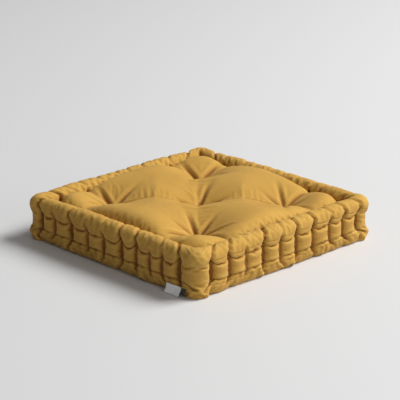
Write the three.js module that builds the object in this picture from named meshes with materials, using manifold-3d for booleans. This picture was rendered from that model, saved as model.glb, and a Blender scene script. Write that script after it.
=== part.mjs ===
// A square floor cushion of the rolled-edge, tufted kind, in millimetres with +Z up.
// The origin is on the floor under the cushion's centre, and its four sides run along X and Y.
//
// A cotton cover is cut as two square panels and four side panels. Each square panel runs from the
// tufted field over a stuffed roll to a seam on the roll's outer face; each side panel runs from
// that seam under the roll, down the side band and over the other roll to the lower seam. A thread
// stitched through the neck of each roll holds it apart from the core, and five ties through the
// whole thickness pull the tufts in.
import * as THREE from "three";
import { mergeVertices } from "three/addons/utils/BufferGeometryUtils.js";
import Module from "manifold-3d";

const wasm = await Module();
wasm.setup();

const degrees = THREE.MathUtils.degToRad;

// ---- Driving dimensions ----
const width = 580; // across the rolls, the same along X and along Y
const height = 105; // from the floor to the top of the upper roll
const crown = 14; // how far the padding rises above the upper roll
const rollRadius = 19;
const rollSink = 2; // how far the lower roll is pressed flat on the floor
const rimCorner = 3; // plan radius of the tufted field's corners, inside the rolls
const cloth = 1.2; // thickness of the cover
const clearance = 0.4; // between pieces that touch
const loft = 2; // room that the loose wadding leaves under the cover

// Where the cover leaves each roll, as angles round the roll's centre: 0 points outwards, 90 up.
const upperRim = degrees(200); // the upper field meets its roll
const upperSeam = degrees(-15); // the top panel meets the side panels
const upperNeck = degrees(-110); // the side band meets the upper roll
const lowerNeck = degrees(110);
const lowerSeam = degrees(10);
const lowerRim = degrees(160);

// The tufts: one at the centre and four at the corners of a square.
const tuftOffset = 145; // from the centre to the outer tufts, along X and along Y
const tuftThickness = 34; // what the ties leave of the padding
const tuftReach = 58; // how far a tuft's hollow spreads
const rimReach = 26; // how far the padding slopes down towards a roll
const tieRadius = 1.2;
const knotRadius = 4;

// The side band stands out in upright columns, with a crease between each two.
const columns = 11; // on each side
const crestBulge = 18;
const creaseBulge = 8;

const threadRadius = 0.8;

// Labels sewn into the lower seam of the front side.
const brandLabel = { width: 46, drop: 19, thickness: 0.8, fromCorner: 68, lean: 5 };
const careLabel = { width: 13, drop: 13, thickness: 0.8, lean: 3 };
const labelSpacing = 2; // between the two labels

// How finely each stretch is divided.
const cells = { fieldInner: 4, fieldOuter: 3, rimStep: 1, wrap: 5, corner: 2, rollSide: 2, band: 3 };
const roundSteps = 8; // round a roll's wadding
const threadSteps = 4;
const tieSteps = 8;

// ---- Derived sizes ----
const half = width / 2;
const cornerRadius = rollRadius * (1 - Math.cos(upperRim)) + rimCorner; // round the rolls' outer faces
const straight = half - cornerRadius; // from the middle of a side to where its corner starts
const upper = { h: half - rollRadius, z: height - rollRadius };
const lower = { h: half - rollRadius, z: rollRadius - rollSink };
const sideLength = straight + (cornerRadius * Math.PI) / 4; // from a side's middle to its corner seam

// A point on a roll at an angle round its centre: its distance out from the middle, and its height.
function onRoll(roll, angle) {
  return { h: roll.h + rollRadius * Math.cos(angle), z: roll.z + rollRadius * Math.sin(angle) };
}

const field = onRoll(upper, upperRim).h; // from the centre to the rim of the tufted field
const upperRimHeight = onRoll(upper, upperRim).z;
const lowerRimHeight = onRoll(lower, lowerRim).z;
const tuftTop = (height + tuftThickness) / 2;
const tuftBottom = (height - tuftThickness) / 2;
const tufts = [
  ["centre", 0, 0],
  ["front_left", -tuftOffset, -tuftOffset],
  ["front_right", tuftOffset, -tuftOffset],
  ["back_right", tuftOffset, tuftOffset],
  ["back_left", -tuftOffset, tuftOffset],
];

// ---- Materials ----
const ochreCotton = new THREE.MeshStandardMaterial({ color: 0xb98a32, roughness: 0.85, metalness: 0 });
const fibre = new THREE.MeshStandardMaterial({ color: 0xd9d3c4, roughness: 0.95, metalness: 0 });
const ochreThread = new THREE.MeshStandardMaterial({ color: 0x9c7226, roughness: 0.7, metalness: 0 });
const whiteSatin = new THREE.MeshStandardMaterial({ color: 0xf2f0ea, roughness: 0.6, metalness: 0 });
const blackSatin = new THREE.MeshStandardMaterial({ color: 0x18171a, roughness: 0.6, metalness: 0 });

// ---- Helpers ----
// Grid lines through the given stops, with that many equal cells in each stretch.
function gridLines(stops, counts) {
  const lines = [stops[0]];
  counts.forEach((count, i) => {
    for (let k = 1; k <= count; k++) lines.push(THREE.MathUtils.lerp(stops[i], stops[i + 1], k / count));
  });
  return lines;
}

// A closed mesh's geometry as a solid that can be cut and joined, and back again.
function solidOf(geometry) {
  const bare = geometry.clone().deleteAttribute("normal").deleteAttribute("uv");
  const merged = mergeVertices(bare, 1e-3);
  const mesh = new wasm.Mesh({
    numProp: 3,
    vertProperties: merged.attributes.position.array,
    triVerts: new Uint32Array(merged.index.array),
  });
  return new wasm.Manifold(mesh);
}

function geometryOf(solid) {
  const mesh = solid.getMesh();
  const geometry = new THREE.BufferGeometry();
  geometry.setAttribute("position", new THREE.BufferAttribute(mesh.vertProperties, 3));
  geometry.setIndex(new THREE.BufferAttribute(mesh.triVerts, 1));
  geometry.computeVertexNormals();
  return geometry;
}

// A slab of cells. Its lower face is split along the same diagonals as its upper face, so that the
// two stay evenly apart when both are bent the same way.
function slab(countS, countT, levels) {
  const geometry = new THREE.BoxGeometry(countS, countT, levels, countS, countT, levels);
  const index = geometry.index.array;
  const { start, count } = geometry.groups[5];
  for (let i = start; i < start + count; i += 6) {
    const [a, b, d, , c] = index.slice(i, i + 5);
    index.set([a, b, c, a, c, d], i);
  }
  return geometry;
}

// A sheet of cloth: place(s, t) gives a point of its outer face for each crossing of the grid lines.
// Its inner face lies one cloth thickness behind, along the normal. outward is 1 where
// the outer face looks the way that s turned towards t gives by the right-hand rule, and -1 otherwise.
function clothSheet(linesS, linesT, place, outward) {
  const [countS, countT] = [linesS.length - 1, linesT.length - 1];
  const geometry = slab(countS, countT, 1);
  const position = geometry.attributes.position;
  const step = 0.5; // for the slope of the surface
  for (let i = 0; i < position.count; i++) {
    const s = linesS[Math.round(position.getX(i) + countS / 2)];
    const t = linesT[Math.round(position.getY(i) + countT / 2)];
    const alongS = place(s + step, t).sub(place(s - step, t));
    const alongT = place(s, t + step).sub(place(s, t - step));
    const normal = alongS.cross(alongT).normalize();
    const depth = (position.getZ(i) - outward / 2) * cloth;
    const point = place(s, t).addScaledVector(normal, depth);
    position.setXYZ(i, point.x, point.y, point.z);
  }
  return geometry;
}

// A point in plan on the front side's line at distance h from the middle, rounding its corners.
function alongFront(along, h) {
  const past = Math.abs(along) - straight;
  if (past <= 0) return [along, -h];
  const angle = past / cornerRadius;
  const radius = h - straight;
  return [Math.sign(along) * (straight + radius * Math.sin(angle)), -straight - radius * Math.cos(angle)];
}

// A ring that runs round all four sides. centre(i) gives the middle of its section, as a distance out
// from the middle and a height, at the i-th grid line of each side; floor is as low as it may reach.
function ring(linesSide, centre, radius, steps, floor = 0) {
  const perSide = linesSide.length - 1;
  const geometry = new THREE.TorusGeometry(1, 0.5, steps, 4 * perSide);
  const { position, uv } = geometry.attributes;
  for (let i = 0; i < position.count; i++) {
    const line = Math.round(uv.getX(i) * 4 * perSide) % (4 * perSide);
    const angle = uv.getY(i) * 2 * Math.PI;
    const { h, z } = centre(line % perSide);
    const [x, y] = alongFront(linesSide[line % perSide], h + radius * Math.cos(angle));
    const point = new THREE.Vector3(x, y, Math.max(floor, z + radius * Math.sin(angle)));
    point.applyAxisAngle(new THREE.Vector3(0, 0, 1), (Math.floor(line / perSide) * Math.PI) / 2);
    position.setXYZ(i, point.x, point.y, point.z);
  }
  return geometry;
}

// ---- The tufted fields ----
function tuftDistance(x, y) {
  return Math.min(...tufts.map(([, tuftX, tuftY]) => Math.hypot(x - tuftX, y - tuftY)));
}

// 1 at a tuft or at a roll, falling off over the given reach.
function hollow(distance, reach) {
  return Math.exp(-Math.pow(distance / reach, 1.2));
}

function topHeight(x, y, fromRim) {
  const open = height + crown - (height + crown - upperRimHeight) * hollow(fromRim, rimReach);
  return open - (open - tuftTop) * hollow(tuftDistance(x, y), tuftReach);
}

// The underside is pressed flat on the floor between its hollows.
function bottomHeight(x, y, fromRim) {
  const press = 0.3;
  const pressed = (share) => Math.max(0, share * (1 + press) - press);
  const atRim = lowerRimHeight * pressed(hollow(fromRim, rimReach));
  const atTuft = tuftBottom * pressed(hollow(tuftDistance(x, y), tuftReach));
  return Math.max(atRim, atTuft);
}

// A point of a square panel. Out to the rim it is the field; past the rim the cloth turns round the
// roll by its own length. turn is -1 where the angle falls on the way round, and 1 where it grows.
function onPanel(s, t, fieldHeight, roll, rim, turn) {
  const [a, b] = [Math.abs(s), Math.abs(t)];
  const reach = Math.max(a, b);
  const past = reach - field;
  const round = onRoll(roll, rim + (turn * Math.max(0, past)) / rollRadius);
  const h = past > 0 ? round.h : reach;
  let [x, y] = a >= b ? [h, b] : [a, h];
  const shorter = Math.min(a, b) - straight;
  if (shorter > 0) {
    const angle = ((Math.PI / 4) * shorter) / (reach - straight);
    const [near, far] = [Math.sin(angle), Math.cos(angle)].map((share) => straight + (h - straight) * share);
    [x, y] = a >= b ? [far, near] : [near, far];
  }
  const z = past > 0 ? Math.max(0, round.z) : fieldHeight(x, y, -past);
  return new THREE.Vector3(Math.sign(s) * x, Math.sign(t) * y, z);
}

// The grid lines of a field, which pass through its tufts, and of a whole panel out to its seam.
const fieldStops = [-field, -straight, -tuftOffset, 0, tuftOffset, straight, field];
const { rimStep, fieldOuter, fieldInner } = cells;
const fieldCounts = [rimStep, fieldOuter, fieldInner, fieldInner, fieldOuter, rimStep];

function panelLines(rim, seam) {
  const edge = field + Math.abs(rim - seam) * rollRadius - clearance / 2;
  return gridLines([-edge, ...fieldStops, edge], [cells.wrap, ...fieldCounts, cells.wrap]);
}

// The holes that the ties pass through.
function drilled(solid) {
  const reach = 4 * height;
  return tufts.reduce((left, [, x, y]) => {
    const drill = new THREE.CylinderGeometry(tieRadius + clearance, tieRadius + clearance, reach, tieSteps);
    drill.rotateX(Math.PI / 2).translate(x, y, 0);
    return left.subtract(solidOf(drill));
  }, solid);
}

function topPanel() {
  const lines = panelLines(upperRim, upperSeam);
  const place = (s, t) => onPanel(s, t, topHeight, upper, upperRim, -1);
  return geometryOf(drilled(solidOf(clothSheet(lines, lines, place, 1))));
}

function bottomPanel() {
  const fullTurn = 2 * Math.PI;
  const lines = panelLines(lowerRim, lowerSeam + fullTurn);
  const place = (s, t) => onPanel(s, t, bottomHeight, lower, lowerRim, 1);
  return geometryOf(drilled(solidOf(clothSheet(lines, lines, place, -1))));
}

// ---- The side panels ----
const lowerRollLength = (lowerNeck - lowerSeam) * rollRadius;
const upperRollLength = (upperSeam - upperNeck) * rollRadius;
const bandFoot = onRoll(lower, lowerNeck);
const bandHead = onRoll(upper, upperNeck);
const bandLength = bandHead.z - bandFoot.z;

// How far the band stands out of its straight line: most at a column's middle, least at a crease.
function bandBulge(along, share) {
  const column = Math.abs(Math.sin((Math.PI * columns * (along + sideLength)) / (2 * sideLength)));
  return (creaseBulge + (crestBulge - creaseBulge) * column) * Math.sin(Math.PI * share);
}

// A point of the front side panel: along the side, and up it from the lower seam.
function onSide(along, up) {
  let place = { h: 0, z: 0 };
  const upBand = up - lowerRollLength;
  if (upBand < 0) {
    place = onRoll(lower, lowerSeam + up / rollRadius);
  } else if (upBand < bandLength) {
    const share = upBand / bandLength;
    const line = bandFoot.h + (bandHead.h - bandFoot.h) * share;
    place = { h: line + bandBulge(along, share), z: bandFoot.z + upBand };
  } else {
    place = onRoll(upper, upperNeck + (upBand - bandLength) / rollRadius);
  }
  const [x, y] = alongFront(along, place.h);
  return new THREE.Vector3(x, y, place.z);
}

// A side's grid lines: two cells to a column, and finer round each corner.
function sideLines(end) {
  const lastCrest = sideLength * (1 - 1 / columns);
  const inner = 2 * (columns - 1);
  return gridLines([-end, -lastCrest, lastCrest, end], [cells.corner, inner, cells.corner]);
}

function sidePanel() {
  const neckRadius = bandFoot.h - straight - cloth; // the tightest turn of a corner seam
  const seamGap = (clearance / 2) * (cornerRadius / neckRadius);
  const top = lowerRollLength + bandLength + upperRollLength - clearance / 2;
  const stops = [clearance / 2, lowerRollLength, lowerRollLength + bandLength, top];
  const linesUp = gridLines(stops, [cells.rollSide, cells.band, cells.rollSide]);
  return clothSheet(sideLines(sideLength - seamGap), linesUp, onSide, 1);
}

// ---- The wadding ----
// The core fills the cover between the rolls, and swells into the side band at mid-height.
function coreWadding() {
  const clear = loft + cloth;
  const lines = gridLines([-straight, -tuftOffset, 0, tuftOffset, straight], fieldCounts.slice(1, -1));
  const count = lines.length - 1;
  const swell = bandFoot.h - clear;
  const waists = [
    { h: straight, z: bandFoot.z },
    { h: swell, z: bandFoot.z + clear },
    { h: swell, z: bandHead.z - clear },
    { h: straight, z: bandHead.z },
  ];
  const levels = waists.length + 1;
  const geometry = slab(count, count, levels);
  const position = geometry.attributes.position;
  for (let i = 0; i < position.count; i++) {
    const s = lines[Math.round(position.getX(i) + count / 2)];
    const t = lines[Math.round(position.getY(i) + count / 2)];
    const level = Math.round(position.getZ(i) + levels / 2);
    const fromRim = field - Math.max(Math.abs(s), Math.abs(t));
    let [x, y, z] = [s, t, bottomHeight(s, t, fromRim) + cloth + loft];
    if (level === levels) z = topHeight(s, t, fromRim) - cloth - loft;
    if (level > 0 && level < levels) {
      const waist = waists[level - 1];
      const atCorner = Math.abs(s) === straight && Math.abs(t) === straight;
      const out = (waist.h - straight) * (atCorner ? Math.SQRT1_2 : 1);
      x += Math.abs(s) === straight ? Math.sign(s) * out : 0;
      y += Math.abs(t) === straight ? Math.sign(t) * out : 0;
      z = waist.z;
    }
    position.setXYZ(i, x, y, z);
  }
  return geometryOf(drilled(solidOf(geometry)));
}

// The wadding of a roll is drawn in enough to stay inside the flat facets of its cover, which cut
// the corners of the roll's section and of its plan.
function rollWadding(roll, floor) {
  const counts = [cells.corner, 2 * cells.fieldOuter, cells.corner];
  const lines = gridLines([-sideLength, -straight, straight, sideLength], counts);
  const halfTurn = (lowerNeck - lowerSeam) / cells.rollSide / 2;
  const halfBend = Math.PI / 4 / cells.corner / 2;
  const inSection = (rollRadius - cloth) * Math.cos(halfTurn);
  const inPlan = cornerRadius * (1 - Math.cos(halfBend));
  return ring(lines, () => roll, inSection - inPlan - clearance, roundSteps, floor);
}

// ---- Threads and ties ----
// A roll's thread passes to and fro through its neck, between the rim of the field and the side band.
function rollThread(roll, rim, neck) {
  const lines = sideLines(sideLength);
  const ends = [rim, neck].map((angle) => onRoll(roll, angle));
  const span = Math.hypot(ends[0].h - ends[1].h, ends[0].z - ends[1].z);
  const inset = (cloth + 2 * clearance + threadRadius) / span;
  const stitch = ends.map((from, i) => ({
    h: from.h + (ends[1 - i].h - from.h) * inset,
    z: from.z + (ends[1 - i].z - from.z) * inset,
  }));
  return ring(lines, (line) => stitch[line % 2], threadRadius, threadSteps);
}

// A tie: a cord through the whole thickness with a knot in each hollow.
function tuftTie() {
  const nest = 1.6 * knotRadius; // from the bottom of a hollow to the middle of the knot in it
  const leave = Math.asin(tieRadius / knotRadius);
  const knot = (middle, from, to) => {
    const arc = new THREE.EllipseCurve(0, middle, knotRadius, knotRadius, from, to);
    return arc.getPoints(tieSteps / 2);
  };
  const profile = [
    ...knot(tuftBottom - nest, -Math.PI / 2, Math.PI / 2 - leave),
    ...knot(tuftTop + nest, leave - Math.PI / 2, Math.PI / 2),
  ];
  profile[0].x = 0;
  profile[profile.length - 1].x = 0;
  return new THREE.LatheGeometry(profile, tieSteps).rotateX(Math.PI / 2);
}

// ---- Labels ----
// A label hangs from the lower seam of the front side and leans out until it nears the floor.
function label(size) {
  const bends = 4;
  const geometry = new THREE.BoxGeometry(size.width, size.thickness, size.drop, 1, 1, bends);
  const position = geometry.attributes.position;
  for (let i = 0; i < position.count; i++) {
    const down = 0.5 - position.getZ(i) / size.drop;
    position.setY(i, position.getY(i) - size.lean * down * down);
  }
  return geometry;
}

const seam = onRoll(lower, lowerSeam);
const brandX = half - brandLabel.fromCorner;
const careX = brandX + (brandLabel.width + careLabel.width) / 2 + labelSpacing;

// ---- The cushion ----
function addPiece(parent, name, geometry, material) {
  const mesh = new THREE.Mesh(geometry, material);
  mesh.name = name;
  parent.add(mesh);
  return mesh;
}

const cushion = new THREE.Group();

const cover = new THREE.Group();
cushion.add(cover);
addPiece(cover, "top_panel", topPanel(), ochreCotton);
addPiece(cover, "bottom_panel", bottomPanel(), ochreCotton);
["front", "right", "back", "left"].forEach((side, i) => {
  addPiece(cover, `side_panel_${side}`, sidePanel(), ochreCotton).rotation.z = (i * Math.PI) / 2;
});

const filling = new THREE.Group();
cushion.add(filling);
addPiece(filling, "core_wadding", coreWadding(), fibre);
addPiece(filling, "upper_roll_wadding", rollWadding(upper, 0), fibre);
addPiece(filling, "lower_roll_wadding", rollWadding(lower, cloth + loft), fibre);

const sewing = new THREE.Group();
cushion.add(sewing);
addPiece(sewing, "upper_roll_thread", rollThread(upper, upperRim, upperNeck), ochreThread);
addPiece(sewing, "lower_roll_thread", rollThread(lower, lowerRim, lowerNeck), ochreThread);
tufts.forEach(([place, x, y]) => {
  addPiece(sewing, `tuft_tie_${place}`, tuftTie(), ochreThread).position.set(x, y, 0);
});

[
  ["brand_label", brandLabel, brandX, whiteSatin],
  ["care_label", careLabel, careX, blackSatin],
].forEach(([name, size, x, material]) => {
  const out = half + size.thickness / 2 + clearance;
  addPiece(cushion, name, label(size), material).position.set(x, -out, seam.z - size.drop / 2);
});

export default cushion;
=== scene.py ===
"""A square floor cushion with stuffed rolled edges and five tufts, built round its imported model.

The cover is one closed cloth, sewn and stuffed by simulation, and then parted into its six panels.
All sizes are in metres, in the model's own frame.
"""
import math

import bpy
import numpy as np
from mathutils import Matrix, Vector


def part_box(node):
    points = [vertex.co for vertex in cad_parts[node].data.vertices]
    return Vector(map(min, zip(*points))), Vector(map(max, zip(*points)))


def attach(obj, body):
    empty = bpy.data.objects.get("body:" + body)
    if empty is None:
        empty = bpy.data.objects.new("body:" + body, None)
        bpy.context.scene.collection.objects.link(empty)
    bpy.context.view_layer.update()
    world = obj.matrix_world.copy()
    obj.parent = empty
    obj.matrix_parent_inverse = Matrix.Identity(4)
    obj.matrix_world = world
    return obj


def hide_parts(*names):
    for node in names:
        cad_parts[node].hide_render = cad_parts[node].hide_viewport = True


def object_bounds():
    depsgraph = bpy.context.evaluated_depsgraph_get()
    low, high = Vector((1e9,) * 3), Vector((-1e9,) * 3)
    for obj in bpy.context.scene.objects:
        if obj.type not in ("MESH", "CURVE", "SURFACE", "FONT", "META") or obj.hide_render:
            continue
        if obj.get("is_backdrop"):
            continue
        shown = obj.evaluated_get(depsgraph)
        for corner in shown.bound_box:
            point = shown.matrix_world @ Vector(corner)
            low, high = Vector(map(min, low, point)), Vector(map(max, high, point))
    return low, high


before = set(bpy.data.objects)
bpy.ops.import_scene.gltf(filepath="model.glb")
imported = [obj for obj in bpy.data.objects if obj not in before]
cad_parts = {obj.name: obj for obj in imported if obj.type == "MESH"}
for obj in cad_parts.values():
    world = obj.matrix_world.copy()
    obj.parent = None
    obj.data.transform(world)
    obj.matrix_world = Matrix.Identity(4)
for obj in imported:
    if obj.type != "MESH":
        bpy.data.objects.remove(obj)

model_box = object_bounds()

# ---- Camera ----
VIEW_AZIMUTH = math.radians(45.66)
VIEW_ELEVATION = math.radians(18.75)
VIEW_DISTANCE = 4.27
VIEW_TARGET = Vector((0.0012, 0.0027, 0.0940))
LENS = 161.2


def point_camera():
    """A long lens that looks at the front corner from a little above."""
    data = bpy.data.cameras.new("camera")
    data.lens = LENS
    data.sensor_width = 36
    camera = bpy.data.objects.new("camera", data)
    back = Vector((
        math.sin(VIEW_AZIMUTH) * math.cos(VIEW_ELEVATION),
        -math.cos(VIEW_AZIMUTH) * math.cos(VIEW_ELEVATION),
        math.sin(VIEW_ELEVATION),
    ))
    camera.location = VIEW_TARGET + back * VIEW_DISTANCE
    camera.rotation_euler = back.to_track_quat("Z", "Y").to_euler()
    bpy.context.scene.collection.objects.link(camera)
    bpy.context.scene.camera = camera


point_camera()

# ---- Sizes ----
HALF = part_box("bottom_panel")[1].x  # from the middle to the outside of a roll
ROLL_RADIUS = 0.019
UPPER_Z = (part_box("upper_roll_wadding")[0].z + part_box("upper_roll_wadding")[1].z) / 2
LOWER_Z = ROLL_RADIUS - 0.002  # the lower roll is pressed 2 mm into its flat
ROLL_H = HALF - ROLL_RADIUS  # from the middle to a roll's own middle
RIM = math.radians(200)  # where the field meets the upper roll, round the roll's middle
NECK = math.radians(-55)  # where the side band meets it
TURN = RIM - NECK  # the cover's whole way round a roll
FIELD = ROLL_H + ROLL_RADIUS * math.cos(RIM)  # half the width of the tufted field
RIM_Z = UPPER_Z + ROLL_RADIUS * math.sin(RIM)
LOWER_RIM_Z = LOWER_Z - ROLL_RADIUS * math.sin(RIM)
CROWN_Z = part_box("top_panel")[1].z + 0.002
RIM_REACH = 0.014  # how far the rolls' pull reaches into the field
TUFT_REACH = 0.066  # and the tufts'
TIES = ["centre", "front_left", "front_right", "back_right", "back_left"]
TUFT_POINTS = np.array([
    [(low + high) / 2 for low, high in zip(*(corner[:2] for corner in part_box(f"tuft_tie_{tie}")))]
    for tie in TIES
])
IN_HOLLOW = 0.0104  # how far a knot stands up from the floor of its hollow
TUFT_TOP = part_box("tuft_tie_centre")[1].z - IN_HOLLOW
TUFT_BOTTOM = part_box("tuft_tie_centre")[0].z + IN_HOLLOW
COLUMNS = 11  # on each side

# ---- The cover's grid, and how it settles ----
CELLS = 82  # across a side, at the coarse fineness
ROLL_ROWS = 19
BAND_ROWS = 8
SEAM_ROW = 16  # rows from a rim to the seam on its roll
STEPS = 80
FINE_STEPS = 30
PRESSURE = 0.00025
SEED = 40
TOP, FRONT, BOTTOM = 0, 1, 5  # panels; the sides are 1 to 4
INSIDE = (slice(1, -1), slice(1, -1))
# Steps down and across to a linked vertex, which ease it has (0 round, 1 down, 2 both),
# and how stiffly it holds when it is stretched and when it is pressed.
LINKS = [
    (0, 1, 0, 1.0, 0.5),
    (1, 0, 1, 1.0, 0.5),
    (1, 1, 2, 0.4, 0.25),
    (1, -1, 2, 0.4, 0.25),
    (0, 2, 0, 0.0, 0.25),
    (2, 0, 1, 0.0, 0.25),
]
FIELD_STIFFNESS = 0.8  # the field's share of the stiffness when pressed
# How far the stuffing can lift the cloth off its sewn place.
FIELD_LOFT = 0.004
ROLL_LOFT = 0.0025
BAND_LOFT = 0.005
# The share of the way back to its sewn place that a stitched line pulls a point in each round.
RIM_GRIP = 0.12
NECK_GRIP = 0.08
LOWER_NECK_GRIP = 0.06
LOOSE_GRIP = 0.2  # in a crease, at the least
STITCH_GRIP = 0.6
STITCH_REACH = 0.0045  # from a crease, along the stitched lines
BAND_CREASE_REACH = 0.0036
TUFT_RADIUS = 0.005

# ---- How much longer the cloth is cut than the place it is sewn to ----
CUT_SEAM = 0.312  # half a side panel's length as cut
TUFT_EASE = 0.11
TUFT_EASE_REACH = 0.065
RIM_EASE = 0.10
RIM_EASE_REACH = 0.012
ROLL_ROUND = 0.05
LOWER_ROUND = 0.02  # more of it on the lower roll
ROLL_DOWN = 0.10
BAND_ROUND = 0.03
BAND_DOWN = 0.08
GATHER = 0.06  # more of it along the stitched lines
RIM_GATHER = 0.06
GATHER_REACH = 0.009
CROWN_CUT = 1.06  # the top's and the bottom's, for the crown

# ---- The sewn shape ----
SLANTS = (-1, 1, -1, 1)  # which way the rolls' stitches lean on each side
SKEW = 0.013  # a roll's inner stitches lie this far along from its outer ones
CREASE_REACH = 0.0058
DIP_REACH = 0.015
OVER_CORNER = 0.8 / COLUMNS  # how far past a corner its column ends, in halves of a side
EAR = 1.25 / COLUMNS  # how far before a corner its ear begins
EAR_BLUR = 0.02
SWELL = 0.05
PINCH = 0.34
LOWER_PINCH = 0.4 * PINCH
ROLL_UNEVEN = 0.06
DROOP = 0.010
DROOP_REACH = 0.12  # these reaches are shares of all the rows
NECK_DEPTH = 0.006
NECK_FILL = 0.0045
NECK_REACH = 0.05
HANG = (1.0, 0.45, 0.8, 0.8)  # how much the upper roll hangs over the band on each side
CREST_BULGE = 0.009
CREASE_DEPTH = 0.010
EAR_CREASE = 0.008
CORNER = 0.003
LOBE_Z = CROWN_Z + 0.0055
LOBE_UNEVEN = 0.0018
TROUGH = 0.024
FRONT_TROUGH = 0.45 * TROUGH
TROUGH_REACH = 0.031
PLEATS = 7
PLEAT_DEPTH = 0.0075
PLEAT_LENGTH = 0.080
FLOOR_PRESS = 0.3  # the share of a hollow below that the floor presses flat
# The two front sides' creases: each one's shift along its side, and how hard the band and the
# upper roll are drawn in there. On the other two these come at random.
GATHERING = {
    0: ((0, -0.05, -0.02, 0.01, 0.03, 0.06, 0.06, 0.04, 0.0, 0.01),
        (1.0, 0.55, 0.9, 0.4, 0.6, 1.0, 0.45, 0.5, 0.5, 1.0),
        (1.0, 0.35, 0.95, 0.35, 0.2, 1.0, 0.9, 0.1, 0.35, 1.0)),
    1: ((0, -0.03, -0.03, 0, 0.01, 0.02, 0.04, 0.06, 0.05, 0.05),
        (1.0, 0.55, 0.35, 0.85, 0.45, 0.55, 0.3, 0.4, 0.4, 0.9),
        (1.0, 0.75, 0.15, 1.0, 0.5, 0.8, 0.9, 0.4, 0.75, 0.7)),
}


def smooth_noise(points, wavelength, seed, waves=9):
    """The sum of a few plane waves with random directions and phases, from -1 to 1 or so."""
    random = np.random.default_rng(seed)
    total = np.zeros(points.shape[:-1])
    for _ in range(waves):
        direction = random.normal(size=points.shape[-1])
        direction *= 2 * np.pi / wavelength / np.linalg.norm(direction) * random.uniform(0.7, 1.4)
        total += np.sin(points @ direction + random.uniform(0, 2 * np.pi))
    return total / math.sqrt(waves)


def creases(side):
    """A side's creases: places from -1 to 1, how hard its band and its rolls are drawn in, and lean."""
    random = np.random.default_rng(SEED + side)
    count = COLUMNS - 1
    even = 2 * np.arange(1, COLUMNS) / COLUMNS - 1
    lean = random.uniform(0.3, 1.6, count)
    if side in GATHERING:
        shift, drawn, pinched = (np.array(values, float) for values in GATHERING[side])
    else:
        shift, drawn = random.uniform(-0.03, 0.05, count), random.uniform(0.3, 0.95, count)
        pinched = random.uniform(0.1, 1.0, count)
        drawn[[0, -1]], pinched[[0, -1]], shift[-1] = 1.0, 1.0, 0.01
    shift[0] = -0.045  # the side panels are sewn together in this crease
    return even + shift, drawn, pinched, lean


def tuft_distance(x, y):
    """The distance in plan to the nearest tuft: the least of sqrt((x - tuft x)^2 + (y - tuft y)^2)."""
    return np.min([np.hypot(x - tuft[0], y - tuft[1]) for tuft in TUFT_POINTS], axis=0)


def hollow(distance, reach):
    """exp(-(distance / reach)^1.2): 1 at a tuft or a roll, and less and less away from it."""
    return np.exp(-(np.maximum(distance, 0) / reach) ** 1.2)


def troughs(places):
    """The depth of the deepest trough at each place: its depth times hollow(distance from its line).

    Troughs run from the middle tuft to the outer ones, and on from each of those to both rims.
    """
    middle, outer = TUFT_POINTS[0], TUFT_POINTS[1:]
    ends = [(middle, tuft) for tuft in outer]
    for tuft in outer:
        ends.append((tuft, (math.copysign(FIELD, tuft[0]), tuft[1] * 0.96)))
        ends.append((tuft, (tuft[0] * 0.96, math.copysign(FIELD, tuft[1]))))
    trough = np.zeros(places.shape[:-1])
    for start, end in ends:
        start, end = np.array(start), np.array(end)
        way = end - start
        share = np.clip((places - start) @ way / (way @ way), 0, 1)
        away = np.linalg.norm(places - start - share[..., None] * way, axis=-1)
        to_front = np.hypot(*start) < 0.01 and abs(end @ [1, -1]) > 0.2
        depth = FRONT_TROUGH if to_front else TROUGH
        trough = np.maximum(trough, depth * hollow(away, TROUGH_REACH))
    return trough


def pleats(x, y):
    """The depth of each short fold round each tuft, in turn, at each place.

    PLEAT_DEPTH length exp(-(aside / (4 mm + 0.07 away))^2 - (away / (PLEAT_LENGTH length))^2)
    tanh(away / 10 mm), where away is from the tuft and aside from the fold's line.
    """
    random = np.random.default_rng(SEED)
    for tuft in TUFT_POINTS:
        away, angle = np.hypot(x - tuft[0], y - tuft[1]), np.arctan2(y - tuft[1], x - tuft[0])
        folds = np.arange(PLEATS) * 2 * np.pi / PLEATS + random.uniform(-0.3, 0.3, PLEATS)
        lengths = random.uniform(0.6, 1.3, PLEATS)
        for fold, length in zip(folds, lengths):
            aside = np.abs((angle - fold + np.pi) % (2 * np.pi) - np.pi) * away
            aside = (aside / (0.004 + 0.07 * away)) ** 2
            along = away / (PLEAT_LENGTH * length)
            yield PLEAT_DEPTH * length * np.exp(-aside - along ** 2) * np.tanh(away / 0.01)


def half_steps(values, axis, wrap):
    """Twice as many points along one axis, each new one on the cubic through its four neighbours.

    That is (9 (nearer two) - (farther two)) / 16.
    """
    values = np.moveaxis(values, axis, 0)
    if wrap:
        ahead, far, behind = (np.roll(values, shift, 0) for shift in (-1, -2, 1))
        middle = (9 * (values + ahead) - far - behind) / 16
        fine = np.stack([values, middle], 1).reshape(-1, *values.shape[1:])
    else:
        before, after = 2 * values[:1] - values[1:2], 2 * values[-1:] - values[-2:-1]
        padded = np.concatenate([before, values, after])
        middle = (9 * (padded[1:-2] + padded[2:-1]) - padded[:-3] - padded[3:]) / 16
        fine = np.empty((2 * len(values) - 1, *values.shape[1:]))
        fine[0::2], fine[1::2] = values, middle
    return np.moveaxis(fine, 0, axis)


def vertex_normals(points, faces):
    """The sum of the faces' cross products at each point, made one long."""
    face = np.cross(points[faces[:, 2]] - points[faces[:, 0]], points[faces[:, 3]] - points[faces[:, 1]])
    total = np.stack([
        sum(np.bincount(faces[:, k], face[:, axis], len(points)) for k in range(4)) for axis in range(3)
    ], -1)
    return total / np.maximum(np.linalg.norm(total, axis=1, keepdims=True), 1e-12)


def level_outward(line):
    """The level direction out of a closed line at each of its points, square to its two neighbours' chord."""
    along = np.roll(line, -1, 0) - np.roll(line, 1, 0)
    along /= np.linalg.norm(along, axis=1, keepdims=True)
    return np.stack([along[:, 1], -along[:, 0]], -1)


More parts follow.
